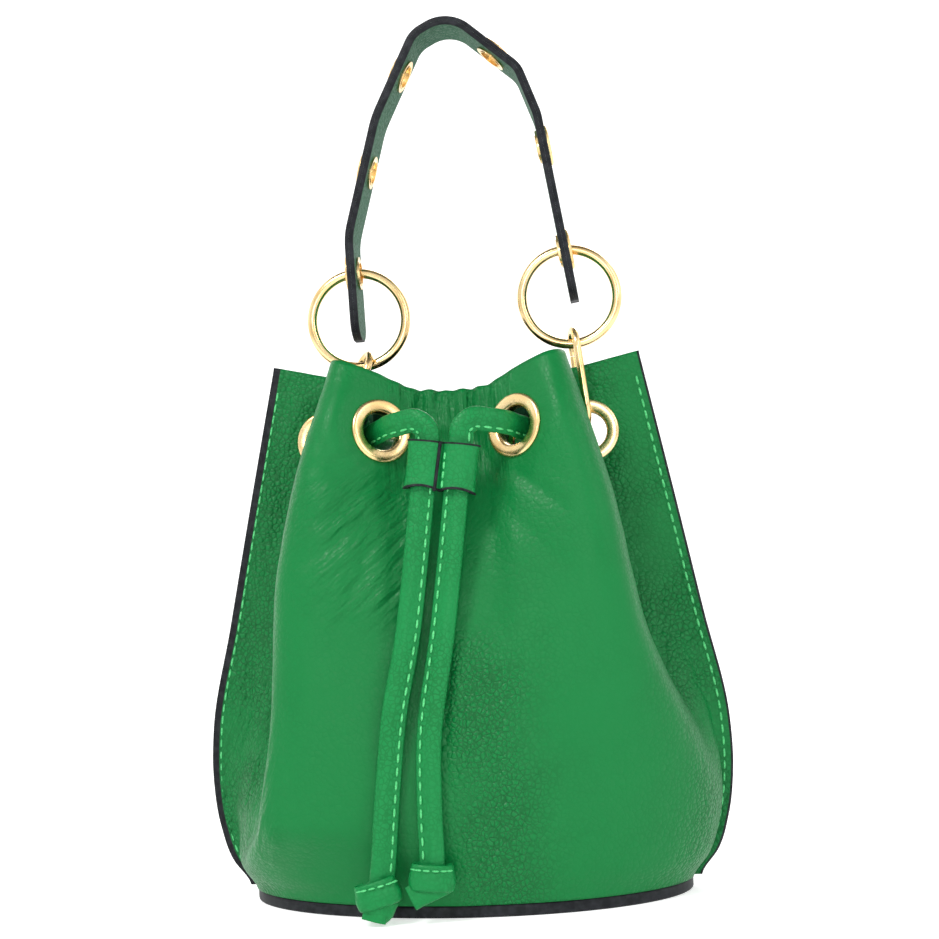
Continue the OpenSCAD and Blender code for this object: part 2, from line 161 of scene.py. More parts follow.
def ease(t):
    t = np.clip(t, 0, 1)
    return t * t * (3 - 2 * t)


def spline(points, s):
    """A Catmull-Rom curve through the points; s counts points from the first."""
    p = np.asarray(points, float)
    p = np.vstack([2 * p[0] - p[1], p, 2 * p[-1] - p[-2]])
    s = np.clip(np.asarray(s, float), 0, len(points) - 1)
    i = np.minimum(s.astype(int), len(points) - 2)
    t = (s - i)[:, None]
    a, b, c, d = p[i], p[i + 1], p[i + 2], p[i + 3]
    return b + 0.5 * t * (c - a + t * (2 * a - 5 * b + 4 * c - d + t * (3 * (b - c) + d - a)))


def evenly(points, step):
    """Points along the curve, a fixed distance apart."""
    fine = spline(points, np.linspace(0, len(points) - 1, 40 * len(points)))
    along = np.concatenate([[0], np.cumsum(np.linalg.norm(np.diff(fine, axis=0), axis=1))])
    count = max(2, int(round(along[-1] / step)) + 1)
    want = np.linspace(0, along[-1], count)
    return np.stack([np.interp(want, along, fine[:, k]) for k in range(3)], axis=1)


# %% [markdown]
# ## Shader helpers
# Shader maths reads best as plain expressions, so a socket is wrapped in a small class that adds a Math node for
# each operator.

# %% Shader helpers
class Sock:
    """A node socket that can be added, multiplied and compared."""

    def __init__(self, tree, out):
        self.tree, self.out = tree, out

    def node(self, kind, settings=None, inputs=None, out=0):
        n = self.tree.nodes.new(kind)
        for key, value in (settings or {}).items():
            setattr(n, key, value)
        for key, value in (inputs or {}).items():
            value = getattr(value, "out", value)
            if isinstance(value, bpy.types.NodeSocket):
                self.tree.links.new(value, n.inputs[key])
            else:
                n.inputs[key].default_value = value
        return Sock(self.tree, n.outputs[out])

    def math(self, operation, *values):
        return self.node("ShaderNodeMath", {"operation": operation}, dict(enumerate(values)))

    def __add__(self, other):
        return self.math("ADD", self, other)

    def __sub__(self, other):
        return self.math("SUBTRACT", self, other)

    def __rsub__(self, other):
        return self.math("SUBTRACT", other, self)

    def __mul__(self, other):
        return self.math("MULTIPLY", self, other)

    __radd__ = __add__
    __rmul__ = __mul__

    def between(self, low, high):
        """0 at low, 1 at high, smooth between; low may be the larger."""
        flip = low > high
        ends = (high, low) if flip else (low, high)
        step = self.node("ShaderNodeMapRange", {"interpolation_type": "SMOOTHSTEP"},
                         {"Value": self, "From Min": ends[0], "From Max": ends[1]})
        return 1.0 - step if flip else step

    def mix(self, a, b):
        """Colour a where this is 0, colour b where it is 1."""
        return self.node("ShaderNodeMix", {"data_type": "RGBA"}, {0: self, 6: a, 7: b}, out=2)


def new_material(name):
    material = bpy.data.materials.new(name)
    material.use_nodes = True
    tree = material.node_tree
    shader = tree.nodes["Principled BSDF"]
    coords = tree.nodes.new("ShaderNodeTexCoord")
    return material, Sock(tree, coords.outputs["Object"]), shader


def noise(place, scale, detail=2.0, roughness=0.5):
    return place.node("ShaderNodeTexNoise", None,
                      {"Vector": place, "Scale": scale, "Detail": detail, "Roughness": roughness})


def cells(place, scale, feature="F1", smooth=0.4, out=0):
    inputs = {"Vector": place, "Scale": scale}
    if feature == "SMOOTH_F1":
        inputs["Smoothness"] = smooth
    return place.node("ShaderNodeTexVoronoi", {"feature": feature}, inputs, out=out)


def feed(shader, name, value):
    if isinstance(value, Sock):
        value.tree.links.new(value.out, shader.inputs[name])
    else:
        shader.inputs[name].default_value = value


def bump(height, distance, strength=1.0, after=None):
    inputs = {"Height": height, "Distance": distance, "Strength": strength}
    if after is not None:
        inputs["Normal"] = after
    return height.node("ShaderNodeBump", None, inputs)


# %% [markdown]
# ## Leather
# Pebbled leather is skin drummed until it shrinks into small rounded cells. Smooth Voronoi cells give the pebbles and
# a finer noise their skin. Where the hide is stretched the pebbles fade, so a broad noise weakens them in patches.
# The colour is painted darker in the grooves between the pebbles, as painted shade, and a slow noise mottles it at
# random.

# %% Leather materials
def parts_of(place):
    """The x, y and z of a place, each a number socket."""
    return [place.node("ShaderNodeSeparateXYZ", None, {0: place}, out=k) for k in range(3)]


def lined(place, along, across, steep):
    """Noise drawn out into long fine creases; steep turns them from upright towards the side, in degrees."""
    x, y, z = parts_of(place)
    c, s = math.cos(math.radians(steep)), math.sin(math.radians(steep))
    side, rise = x * c + z * s, z * c - x * s
    flat = x.node("ShaderNodeCombineXYZ", None, {0: side * across, 1: y * across * 0.3, 2: rise * along})
    return flat.node("ShaderNodeTexNoise", None, {"Vector": flat, "Scale": 1.0, "Detail": 2.0})


def leather(name, colour, deep, pebble=1.0, rough=0.36, cell=560.0, gathered=False):
    material, place, shader = new_material(name)
    wander = place.node("ShaderNodeTexNoise", None, {"Vector": place, "Scale": 240.0}, out=1)
    warp = place.node("ShaderNodeVectorMath", {"operation": "MULTIPLY_ADD"},
                      {0: wander, 1: (0.0022, 0.0022, 0.0022), 2: place})
    far = cells(warp, cell, "SMOOTH_F1", 0.35)
    dome = 1.0 - far * far * 2.2
    groove = cells(warp, cell, "DISTANCE_TO_EDGE").between(0.0, 0.26)
    stretched = noise(place, 24, 2).between(0.36, 0.64)
    amount = 0.40 + stretched * 0.60
    if gathered:
        x, y, z = parts_of(place)
        wing = y.math("ABSOLUTE", y).between(0.040, 0.016)
        low_right = x.between(-0.012, 0.004) * x.between(0.044, 0.016) * z.between(0.118, 0.085)
        low_right = low_right * y.between(0.0, -0.02)
        amount = amount * (0.22 + (wing + low_right).math("MINIMUM", wing + low_right, 1.0) * 0.78)
        rough = rough + low_right * -0.10
    skin = noise(place, 2200, 3, 0.6)
    shade = noise(place, 30, 3, 0.6)
    # painted shade: the colour goes to the deep colour in the grooves between pebbles; the slow noise is a random
    # mottle of the hide's own tone
    tone = (groove * amount * 0.8 + (1.0 - amount * 0.8) * 0.9 + shade * 0.8 - 0.40).between(0.0, 0.95)
    feed(shader, "Base Color", tone.mix((*deep, 1), (*colour, 1)))
    feed(shader, "Roughness", rough + (1.0 - groove) * 0.16 + skin * 0.10 - 0.05)
    normal = bump((dome * 0.7 + groove * 0.3) * amount, 0.00042 * pebble, 1.0)
    if gathered:
        near_middle = x.math("ABSOLUTE", x).between(0.030, 0.014) * z.between(0.146, 0.166)
        fan = (x.between(-0.006, -0.018) * x.between(-0.062, -0.040)
               * z.between(0.096, 0.120) * z.between(0.168, 0.150))
        facing = y.between(-0.024, -0.036)
        normal = bump(lined(place, 40, 480, 3) * near_middle * facing, 0.0024, 1.0, normal)
        normal = bump(lined(place, 55, 270, -49) * fan * facing, 0.0028, 1.0, normal)
        folds = x.between(-0.062, -0.070) * z.between(0.012, 0.030) * z.between(0.108, 0.080)
        normal = bump(lined(place, 45, 330, -24) * folds, 0.0022, 1.0, normal)
    feed(shader, "Normal", bump(skin, 0.00005, 0.6, normal))
    shader.inputs["Specular IOR Level"].default_value = 0.20
    return material


# GREEN_DEEP is the painted shade in the pebble grooves and the dark end of the random mottle
GREEN = (0.0015, 0.158, 0.034)
GREEN_DEEP = (0.0008, 0.098, 0.020)
panel_leather = leather("panel_leather", GREEN, GREEN_DEEP, gathered=True)
cord_leather = leather("cord_leather", (0.004, 0.200, 0.047), (0.002, 0.145, 0.031), pebble=0.3, rough=0.36)
strap_face = leather("strap_face", (0.003, 0.17, 0.04), GREEN_DEEP, pebble=0.45)
strap_back = leather("strap_back", (0.007, 0.092, 0.038), (0.005, 0.062, 0.025), pebble=0.25, rough=0.5)
suede = leather("flesh_side", (0.014, 0.09, 0.04), (0.008, 0.055, 0.022), pebble=0.2, rough=0.8)


def edge_paint():
    material, place, shader = new_material("edge_paint")
    wavy = noise(place, 420, 3)
    feed(shader, "Base Color", wavy.between(0.3, 0.8).mix((0.006, 0.007, 0.009, 1), (0.022, 0.024, 0.028, 1)))
    feed(shader, "Roughness", 0.38 + wavy * 0.25)
    feed(shader, "Normal", bump(wavy, 0.0001, 0.6))
    shader.inputs["Specular IOR Level"].default_value = 0.15
    return material


def thread():
    material, place, shader = new_material("thread")
    twist = noise(place, 1800, 2)
    feed(shader, "Base Color", twist.between(0.3, 0.7).mix((0.030, 0.40, 0.11, 1), (0.11, 0.62, 0.22, 1)))
    feed(shader, "Roughness", 0.42 + twist * 0.15)
    feed(shader, "Normal", bump(twist, 0.0001, 0.5))
    return material


# %% [markdown]
# ## Pale gold hardware
# The rings, grommets and links are cast or pressed metal with a thin polished gold plate. A plated surface is never
# perfectly even: slow noise bends the reflections, and fine noise takes the edge off the polish.

# %% Metal materials
def gold(name, rough=0.13):
    material, place, shader = new_material(name)
    slow, fine = noise(place, 90, 2), noise(place, 900, 3)
    feed(shader, "Base Color", slow.between(0.3, 0.7).mix((0.78, 0.53, 0.23, 1), (0.91, 0.71, 0.38, 1)))
    feed(shader, "Roughness", rough + fine * 0.08 + slow * 0.05)
    feed(shader, "Normal", bump(slow, 0.0003, 0.25, bump(fine, 0.00001, 0.3)))
    shader.inputs["Metallic"].default_value = 1.0
    return material


def board():
    material, place, shader = new_material("fibreboard")
    flecks = noise(place, 300, 4, 0.7)
    feed(shader, "Base Color", flecks.between(0.3, 0.7).mix((0.12, 0.09, 0.06, 1), (0.25, 0.20, 0.14, 1)))
    feed(shader, "Roughness", 0.75 + flecks * 0.15)
    feed(shader, "Normal", bump(flecks, 0.0002, 0.5))
    return material


paint, sewing, polished, board_mat = edge_paint(), thread(), gold("polished_gold"), board()
cast_gold = gold("grommet_gold", 0.2)
print("materials made:", len(bpy.data.materials))

# %% [markdown]
# ## Cords
# The drawstring is a strip of leather folded round a core and stitched along one side: a round welt with a thin flange
# beside it. It is swept along the same route as the model's own solid, and its two tails hang free.

# %% Cord routes
LOOP = [(-7.4, -56.9, 162), (-6.2, -56.3, 171), (-6.8, -56, 175.4), (-11, -54.8, 178.4), (-17, -51.5, 177.8),
        (-22, -47, 177), (-25.4, -41.8, 176), (-30, -35, 174.7), (-31, -26, 174), (-29.5, 0, 174),
        (-31, 26, 174), (-30, 35, 174.7), (-25.4, 41.8, 176), (-21.5, 47.5, 177), (-13, 51, 177),
        (0, 51.5, 177), (13, 51, 177), (21.5, 47.5, 177), (25.4, 41.8, 176), (30, 35, 174.7),
        (31, 26, 174), (29.5, 0, 174), (31, -26, 174), (30, -35, 174.7), (25.4, -41.8, 176),
        (22, -47, 177), (16.5, -51.5, 177.8), (10.6, -54.8, 178.2), (6.6, -56, 175), (6.1, -56.3, 171),
        (4.9, -56.9, 162)]
TAIL_LEFT = [(-7.4, -56.9, 162), (-14.8, -60.4, 105), (-21, -61.6, 74), (-24.5, -61.8, 45), (-26.5, -61.8, 24),
             (-28, -62, 12)]
TAIL_RIGHT = [(4.9, -56.9, 162), (-2.5, -60.3, 105), (-8.6, -61.6, 68), (-9.6, -61.8, 40), (-9.4, -61.8, 27),
              (-9.5, -62, 18)]
CORD_W, CORD_T = 9.0, 4.0
RING_STEP = 0.8


def cord_section(flange, sides=28):
    """The cord's cross-section: a round welt, and a flat stitched flange on side flange, -1 or 1."""
    points = []
    for k in range(sides):
        a = 2 * math.pi * k / sides
        across = math.cos(a) * CORD_W / 2
        lean = ease((across * flange + 0.4) / 2.2)
        thick = CORD_T / 2 * (1 - 0.46 * float(lean))
        points.append((across, math.copysign(abs(math.sin(a)) ** 0.75, math.sin(a)) * thick))
    return points


def swept(name, centres, across, section, materials):
    """A closed tube: the section at every centre, its first axis along across."""
    along = unit(np.gradient(centres, axis=0))
    across = unit(across - np.sum(across * along, axis=1, keepdims=True) * along)
    out = np.cross(across, along)
    section = np.asarray(section)
    rings = centres[:, None] + across[:, None] * section[None, :, :1] + out[:, None] * section[None, :, 1:]
    n, m = rings.shape[:2]
    points = rings.reshape(-1, 3)
    faces = [(i * m + j, i * m + (j + 1) % m, (i + 1) * m + (j + 1) % m, (i + 1) * m + j)
             for i in range(n - 1) for j in range(m)]
    caps = [tuple(range(m - 1, -1, -1)), tuple((n - 1) * m + j for j in range(m))]
    return outward(mesh_object(name, points * MM, faces + caps, materials)), along, across, out


def capsule(rings=4, sides=6):
    """One stitch, lying along X, a unit long and a unit thick: a handful of points."""
    points, faces = [], []
    for i in range(rings + 1):
        a = math.pi * i / rings
        for j in range(sides):
            b = 2 * math.pi * j / sides
            r = math.sin(a) ** 0.6 if 0 < i < rings else 0.25
            points.append((-0.5 * math.cos(a), 0.5 * r * math.cos(b), 0.5 * r * math.sin(b)))
    for i in range(rings):
        for j in range(sides):
            k = (j + 1) % sides
            faces.append((i * sides + j, i * sides + k, (i + 1) * sides + k, (i + 1) * sides + j))
    faces += [tuple(range(sides - 1, -1, -1)), tuple(rings * sides + j for j in range(sides))]
    return np.array(points), faces


STITCH_POINTS, STITCH_FACES = capsule()


def stitches(name, starts, ends, ups, thick=0.95):
    """A row of stitches from starts to ends, standing on a surface whose outward direction is ups (mm)."""
    points, faces = [], []
    for a, b, up in zip(np.asarray(starts), np.asarray(ends), unit(ups)):
        x = unit(b - a)
        y = unit(np.cross(up, x))
        z = np.cross(x, y)
        scale = np.array([np.linalg.norm(b - a), thick, thick * 0.8])
        turned = (STITCH_POINTS * scale) @ np.array([x, y, z]) + (a + b) / 2
        faces += [tuple(len(points) + q for q in f) for f in STITCH_FACES]
        points += list(turned)
    return outward(mesh_object(name, np.array(points) * MM, faces, [sewing]))


# %% The drawstring and its tails
def route(points):
    return evenly(np.array(points, float), RING_STEP)


def across_hanging(centres):
    return np.tile([1.0, 0.0, 0.0], (len(centres), 1))


def across_loop(centres):
    """The strip lies upright round the mouth and turns to face forward where it drops into the slider."""
    along = unit(np.gradient(centres, axis=0))
    flat = np.stack([along[:, 1], -along[:, 0], np.zeros(len(along))], axis=1)
    end = np.minimum(np.arange(len(along)), np.arange(len(along))[::-1]) * RING_STEP
    turned_up = ease((end - 12) / 10)[:, None]
    thick = unit(flat * turned_up + np.array([0, 1.0, 0]) * (1 - turned_up))
    return unit(np.cross(along, thick))


def cord_stitches(name, centres, along, across, out, side, pitch=4.6, length=3.3, offset=3.0):
    """Stitches on the flange of a cord, on both of its faces."""
    every = max(1, int(round(pitch / RING_STEP)))
    span = int(round(length / RING_STEP))
    picks = np.arange(3, len(centres) - span - 2, every)
    starts, ends, ups = [], [], []
    for face in (1, -1):
        for i in picks:
            lift = face * (CORD_T / 2 * 0.54 + 0.15)
            starts.append(centres[i] + side * offset * across[i] + lift * out[i])
            ends.append(centres[i + span] + side * offset * across[i + span] + lift * out[i + span])
            ups.append(face * out[i])
    return stitches(name, starts, ends, ups)


def add_cord(name, points, across_of, side, node):
    centres = route(points)
    piece, along, across, out = swept(name, centres, across_of(centres), cord_section(side), [cord_leather])
    sewn = cord_stitches(name + "_stitches", centres, along, across, out, side)
    finish_piece(piece, "bag", "cord_leather", node)
    finish_piece(sewn, "bag", "cord_leather")
    length = float(np.sum(np.linalg.norm(np.diff(centres, axis=0), axis=1))) * MM
    print(name, "length", round(length, 4), "m,", len(centres), "rings")
    return piece, sewn, centres * MM, length


loop, loop_sewn, loop_line, loop_length = add_cord("drawstring_loop", LOOP, across_loop, 1, "drawstring")
left, left_sewn, left_line, left_length = add_cord(
    "tail_left_cord", TAIL_LEFT, across_hanging, 1, "tail_left")
right, right_sewn, right_line, right_length = add_cord(
    "tail_right_cord", TAIL_RIGHT, across_hanging, -1, "tail_right")

# %% [markdown]
# ## Knots
# Each tail ends in a tight overhand knot, so the strip folds over itself into a small five-sided lump. The knot is the
# same strip laid round twice at different tilts, with its cut end tucked out in front.

# %% Knots
WRAP_WIDE, WRAP_DEEP = 7.0, 3.3


def knot_band(name, centre, wide, deep, tilt, height, thick):
    """The strip laid once round the knot, tilted by so many degrees."""
    t = np.linspace(0, 2 * math.pi, 73)
    flat = np.stack([wide * np.sign(np.cos(t)) * np.abs(np.cos(t)) ** 0.8, deep * np.sign(np.sin(t))
                     * np.abs(np.sin(t)) ** 0.8, np.zeros_like(t)], axis=1)
    c, s = math.cos(math.radians(tilt)), math.sin(math.radians(tilt))
    turn = np.array([[c, 0, s], [0, 1, 0], [-s, 0, c]])
    across = np.tile(turn.T @ [0.0, 0, 1], (len(t), 1))
    shape = [(x * height / CORD_W, y * thick / CORD_T) for x, y in cord_section(1, 18)]
    return swept(name, flat @ turn + centre, across, shape, [cord_leather])


def knot(name, node, tilts, tip, reach):
    """Two wraps, the cut end pointing along tip as far as reach, and a row of stitches (mm and degrees)."""
    low, high = (np.array(c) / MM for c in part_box(node))
    centre = (low + high) / 2
    centre[1] += 0.4
    wrap_at = centre + [0, -0.5, 2.2]
    first, *_ = knot_band(name + "_wrap", wrap_at, WRAP_WIDE, WRAP_DEEP, tilts[0], 9.5, 3.0)
    second, *_ = knot_band(name + "_cross", centre + [0, 0.3, -1.2], 5.6, 2.6, tilts[1], 9.0, 2.8)
    tail_way = unit([tip[0], -0.05, tip[1]])
    line = centre + np.outer(np.linspace(-4, reach, 20), tail_way) + [0, -1.9, -1.0]
    end, *_ = swept(name + "_end", line, np.tile(np.cross(tail_way, [0, 1.0, 0]), (20, 1)),
                    [(x * 0.98, y * 0.75) for x, y in cord_section(-1, 18)], [cord_leather])
    t = np.linspace(3.55, 5.9, 6)
    ring = wrap_at + np.stack([WRAP_WIDE * np.cos(t), WRAP_DEEP * np.sin(t) - 1.4, 0 * t], axis=1)
    ring[:, 2] += math.tan(math.radians(tilts[0])) * (ring[:, 0] - centre[0]) * 0.9 + 2.9
    way = unit(np.gradient(ring, axis=0))
    facing = np.tile([0, -1.0, 0.2], (len(t), 1))
    sewn = stitches(name + "_thread", ring - way * 1.2, ring + way * 1.2, facing, 0.8)
    pieces = [first, second, end, sewn]
    for piece in pieces:
        finish_piece(piece, "bag", "cord_leather")
    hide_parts(node)
    return pieces


knot_l = knot("knot_left", "knot_left", (16, -38), (-0.25, -1.0), 6.4)
knot_r = knot("knot_right", "knot_right", (-4, 24), (-0.9, -0.45), 8.6)

# %% [markdown]
# ## The two leather panels
# A panel is one flat piece of hide, gathered at the mouth so that two rounded folds stand forward of the side seams.
# It is drawn as level sections: at the sole an oval, at the mouth a fold outline, and a smooth change between them.
# The sheet then gets its thickness, its cut edges and the wrinkles that the drawstring pulls into it.

# %% Panel sections
LEATHER_T = 1.6
SEAM_Y = LEATHER_T / 2 + 0.05
CONTROLS = 11
OVAL = np.radians([0, 13, 26, 39, 52, 63, 72, 79, 85])
FOLD_START = {-1: (8, 28), 1: (25, 108)}
BASE_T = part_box("base_sole")[1][2] / MM


def profile(*stops):
    """A smooth curve through (height, value) stops."""
    z, v = np.array(stops, float).T
    slopes = np.gradient(v, z)

    def at(x):
        x = np.clip(x, z[0], z[-1])
        i = np.clip(np.searchsorted(z, x) - 1, 0, len(z) - 2)
        h = z[i + 1] - z[i]
        t = (x - z[i]) / h
        return ((2 * t**3 - 3 * t**2 + 1) * v[i] + (t**3 - 2 * t**2 + t) * h * slopes[i]
                + (-2 * t**3 + 3 * t**2) * v[i + 1] + (t**3 - t**2) * h * slopes[i + 1])
    return at


seam_x = profile((0, 87), (5, 87.5), (14, 94), (27, 98.5), (45, 101), (65, 100.5),
                 (105, 92.5), (150, 83.5), (206, 72))
fold_x = profile((38, 72), (60, 69), (96, 65.5), (122, 64), (150, 59), (176, 51.5), (206, 43))
middle_y = profile((0, 52.2), (5, 52.4), (15, 55), (40, 58), (80, 57), (120, 54),
                   (150, 45), (176, 34), (206, 24))
ridge_y = profile((0, 52.2), (5, 52.4), (15, 55), (40, 58), (120, 57), (150, 55), (176, 52), (206, 41))
root_y = profile((35, 34), (60, 22), (100, 13), (150, 5), (170, 3), (206, 3))
root_x = profile((35, 74), (60, 66), (100, 54), (150, 37), (170, 31), (190, 29), (206, 26))
top_z = profile((0, 191), (0.12, 192.5), (0.3, 199.5), (0.42, 203), (0.58, 203), (0.72, 199.5), (1, 206.5))


def controls(z, side):
    """The half section's control points at heights z, as an array (points, heights, 2)."""
    f, m, d, r, x, w = fold_x(z), middle_y(z), ridge_y(z), root_y(z), root_x(z), seam_x(z)
    start, over = FOLD_START[side]
    share = ease((z - start) / over)[:, None]
    fold = [(0 * f, -m), (0.2 * f, -m), (0.38 * f, -(m + 0.2 * (d - m))), (0.6 * f, -(m + 0.66 * (d - m))),
            (0.84 * f, -1.02 * d), (f, -0.92 * d), (f, -(r + 0.45 * (d - r))), (x, -r),
            (x + 0.45 * (w - x), -np.maximum(2.4, 0.6 * r))]
    rows = []
    for a, p in zip(OVAL, fold):
        oval = np.stack([(w - 3.5) * np.sin(a), -d * np.cos(a)], axis=1)
        rows.append(oval + (np.stack(p, axis=1) - oval) * share)
    rows.append(np.stack([w - 7.8, np.full_like(w, -SEAM_Y)], axis=1))
    rows.append(np.stack([w, np.full_like(w, -SEAM_Y)], axis=1))
    return np.array(rows)


def section_points(u, z, side):
    """Points of the leather's middle surface: u from the middle (0) to the seam (1), at heights z."""
    rows = controls(z, side)
    s = np.minimum(u * (CONTROLS - 2), CONTROLS - 2 - 1e-6)
    i = s.astype(int)
    t = (s - i)[:, None]
    pick = np.arange(len(u))
    b = rows[i + 1, pick]
    a = np.where((i == 0)[:, None], rows[0, pick], (rows[i, pick] + b) / 2)
    after = rows[np.minimum(i + 2, CONTROLS - 1), pick]
    c = np.where((i == CONTROLS - 3)[:, None], rows[-1, pick], (b + after) / 2)
    p = (1 - t) ** 2 * a + 2 * t * (1 - t) * b + t * t * c
    return np.stack([side * p[:, 0], p[:, 1], z], axis=1)


# %% [markdown]
# ## Flats and wrinkles
# A grommet clamps the hide flat, so the sheet is pulled onto each flange's plane. Wrinkles are small moves along the
# surface's own direction: upright gathers under the mouth's dip, creases that run out from the slider and the
# grommets, stretch marks low on the wings, and a slow unevenness everywhere.

# %% Flats and wrinkles
def axis_of(node):
    """The points, centre and axis of a round CAD part, from its own points (mm)."""
    mesh = NODES[node].data
    p = np.array([v.co for v in mesh.vertices]) / MM
    centre = (p.min(axis=0) + p.max(axis=0)) / 2
    axis = np.linalg.svd(p - p.mean(axis=0), full_matrices=False)[2][2]
    return p, centre, axis


def grommet_frame(node, outside):
    p, centre, axis = axis_of(node)
    axis = axis * np.sign(np.dot(axis, outside))
    along = p @ axis
    wide = p - np.outer(along, axis)
    middle = (wide.min(axis=0) + wide.max(axis=0)) / 2
    middle -= axis * np.dot(middle, axis)
    reach = np.linalg.norm(wide - middle, axis=1)
    rim = along[reach > reach.max() - 0.05]
    return middle + axis * rim.min(), axis, reach.max()


FRONT = np.array([0.0, -1.0, 0.0])
PANEL_GROMMETS = [grommet_frame(n, FRONT) for n in
                  ("grommet_front_left", "side_grommet_front_left",
                   "grommet_front_right", "side_grommet_front_right")]
# The hide is flat this far past a flange, blends back over the next stretch, and only if it is this near the seat
FLAT_MARGIN, FLAT_FADE, FLAT_NEAR = 3.0, 9.0, 9.0


def clamp_flat(p):
    for seat, axis, radius in PANEL_GROMMETS:
        on = seat - axis * (LEATHER_T / 2 + 0.05)
        v = p - on
        d = v @ axis
        r = np.linalg.norm(v - d[:, None] * axis, axis=1)
        w = np.where(np.abs(d) > FLAT_NEAR, 0, 1 - ease((r - radius - FLAT_MARGIN) / FLAT_FADE))
        p = p - (w * d)[:, None] * axis
    return p


def ripple(p, scale, seed):
    """Smooth noise from a few crossing waves, about -1 to 1."""
    rng = np.random.default_rng(seed)
    total = np.zeros(len(p))
    for _ in range(9):
        k = unit(rng.normal(size=3)) * rng.uniform(0.6, 1.5) * 2 * math.pi / scale
        total += np.cos(p @ k + rng.uniform(0, 2 * math.pi))
    return total / 4.5


def crease(distance, width):
    """A narrow valley with soft lips, 1 deep at distance 0."""
    return np.exp(-(distance / width) ** 2) - 0.45 * np.exp(-(distance / (2.2 * width)) ** 2)


# Creases that run out and down from the slider: angle, start, stop, depth and width
FAN = ((-62, 15, 46, 1.5, 2.6), (-48, 18, 54, 1.3, 3.0), (-77, 15, 40, 1.1, 2.2),
       (-33, 24, 66, 0.9, 4.0), (60, 17, 42, 1.0, 3.0), (42, 22, 56, 0.7, 3.6))
FAN_HEIGHT = 172
# Stretch marks that climb from the base to the fold's root: side, start across and lean
STRETCH_MARKS = ((-1, 96, 0.20), (-1, 90, 0.32), (-1, 84, 0.44), (1, 96, 0.16), (1, 90, 0.26))
RECESS_DEPTH, RECESS_CALM = 2.2, 0.85


def wrinkles(p, side_seed):
    """How far each point of a panel moves along its own normal, in mm."""
    x, y, z = p.T
    front = ease((-y - 12) / 14)
    away = np.ones(len(p))
    for seat, axis, radius in PANEL_GROMMETS:
        away *= ease((np.linalg.norm(p - seat, axis=1) - radius - 1) / 8)
    gather = ease((z - 148) / 22) * np.exp(-(x / 20) ** 4)
    lines = (np.cos(2 * math.pi * (x + 1.6 * np.sin(z / 9.0 + side_seed)) / 6.4)
             + 0.6 * np.cos(x * 0.62 + 1.3 + z * 0.05))
    move = 0.75 * gather * lines * front
    for angle, start, stop, depth, width in FAN:
        a = math.radians(angle)
        dz = FAN_HEIGHT - z
        out = x * math.sin(a) + dz * math.cos(a)
        off = x * math.cos(a) - dz * math.sin(a) + 2.2 * np.sin(out / 13 + angle)
        ends = ease((out - start) / 8) * (1 - ease((out - stop) / 16))
        move -= depth * front * crease(off, width) * ends
    wing = 1 - front
    for side, base, lean in STRETCH_MARKS:
        line = base - lean * (z - 12) + 0.0022 * (z - 40) ** 2
        band = ease((z - 14) / 18) * (1 - ease((z - 88) / 30))
        move -= 1.1 * wing * band * crease(side * x - line, 2.6)
    near_seam = ease((seam_x(np.clip(z, 0, 206)) - np.abs(x) - 7) / 6)
    move += 0.7 * ripple(p, 60, 5 + side_seed) + 0.22 * ripple(p, 17, 11 + side_seed) * (0.4 + wing)
    low = ease((z - BASE_T - 1) / 10)
    # the strands and the slider lie in a shallow recess, which leaves the slider room to run down
    run = ease((z - 88) / 22) * (1 - ease((z - 172) / 6))
    recess = (1 - ease((np.abs(x + 1.5) - 15) / 12)) * run * front
    move = move * (1 - RECESS_CALM * recess) - RECESS_DEPTH * recess
    return move * away * near_seam * low


# %% Build a panel
COLUMNS = 150 if FINE else 90
ROWS = 120 if FINE else 70
# Columns of the face that the edge paint laps onto, left and right
PAINT_LAP = (3, 1) if FINE else (2, 1)
# A hole in the leather ends this far inside the flange, and is looked for this far from the seat
HOLE_INSET, HOLE_REACH = 1.6, 5


def panel_surface(seed):
    u = np.linspace(-1, 1, 2 * COLUMNS + 1)
    v = np.linspace(0, 1, ROWS + 1)
    grid = []
    for share in u:
        side = -1 if share < 0 else 1
        z = BASE_T + (float(top_z(np.array([abs(share)]))[0]) - BASE_T) * v
        grid.append(section_points(np.full(ROWS + 1, abs(share)), z, side))
    grid = np.array(grid)
    flat = clamp_flat(grid.reshape(-1, 3)).reshape(grid.shape)
    normal = grid_normals(flat)
    moved = flat + normal * wrinkles(flat.reshape(-1, 3), seed).reshape(flat.shape[:2])[..., None]
    return moved, grid_normals(moved)


def grid_normals(grid):
    a, b = np.gradient(grid, axis=0), np.gradient(grid, axis=1)
    n = unit(np.cross(a, b))
    n[:, 0, 2] = 0
    return unit(n)


def panel(name, node, seed, back):
    """A closed sheet: outer skin, inner skin, and a rim all round that carries the edge paint."""
    grid, normal = panel_surface(seed)
    if back:
        grid, normal = grid * [1, -1, 1], normal * [1, -1, 1]
    n, m = grid.shape[:2]
    outer = (grid + normal * LEATHER_T / 2).reshape(-1, 3)
    inner = (grid - normal * LEATHER_T / 2).reshape(-1, 3)
    faces, slots = [], []
    holes = hole_mask(grid.reshape(-1, 3), back)
    for i in range(n - 1):
        for j in range(m - 1):
            k = i * m + j
            quad = (k, k + 1, k + m + 1, k + m)
            if holes[list(quad)].all():
                continue
            lap = i < PAINT_LAP[0] or i >= n - 1 - PAINT_LAP[1]
            faces.append(quad)
            slots.append(2 if lap else 0)
            faces.append(tuple(n * m + q for q in quad[::-1]))
            slots.append(1)
    rim = rim_quads(faces[::2], n * m)
    points = np.concatenate([outer, inner]) * MM
    return outward(mesh_object(name, points, faces + rim, [panel_leather, suede, paint],
                               slots + [2] * len(rim)))


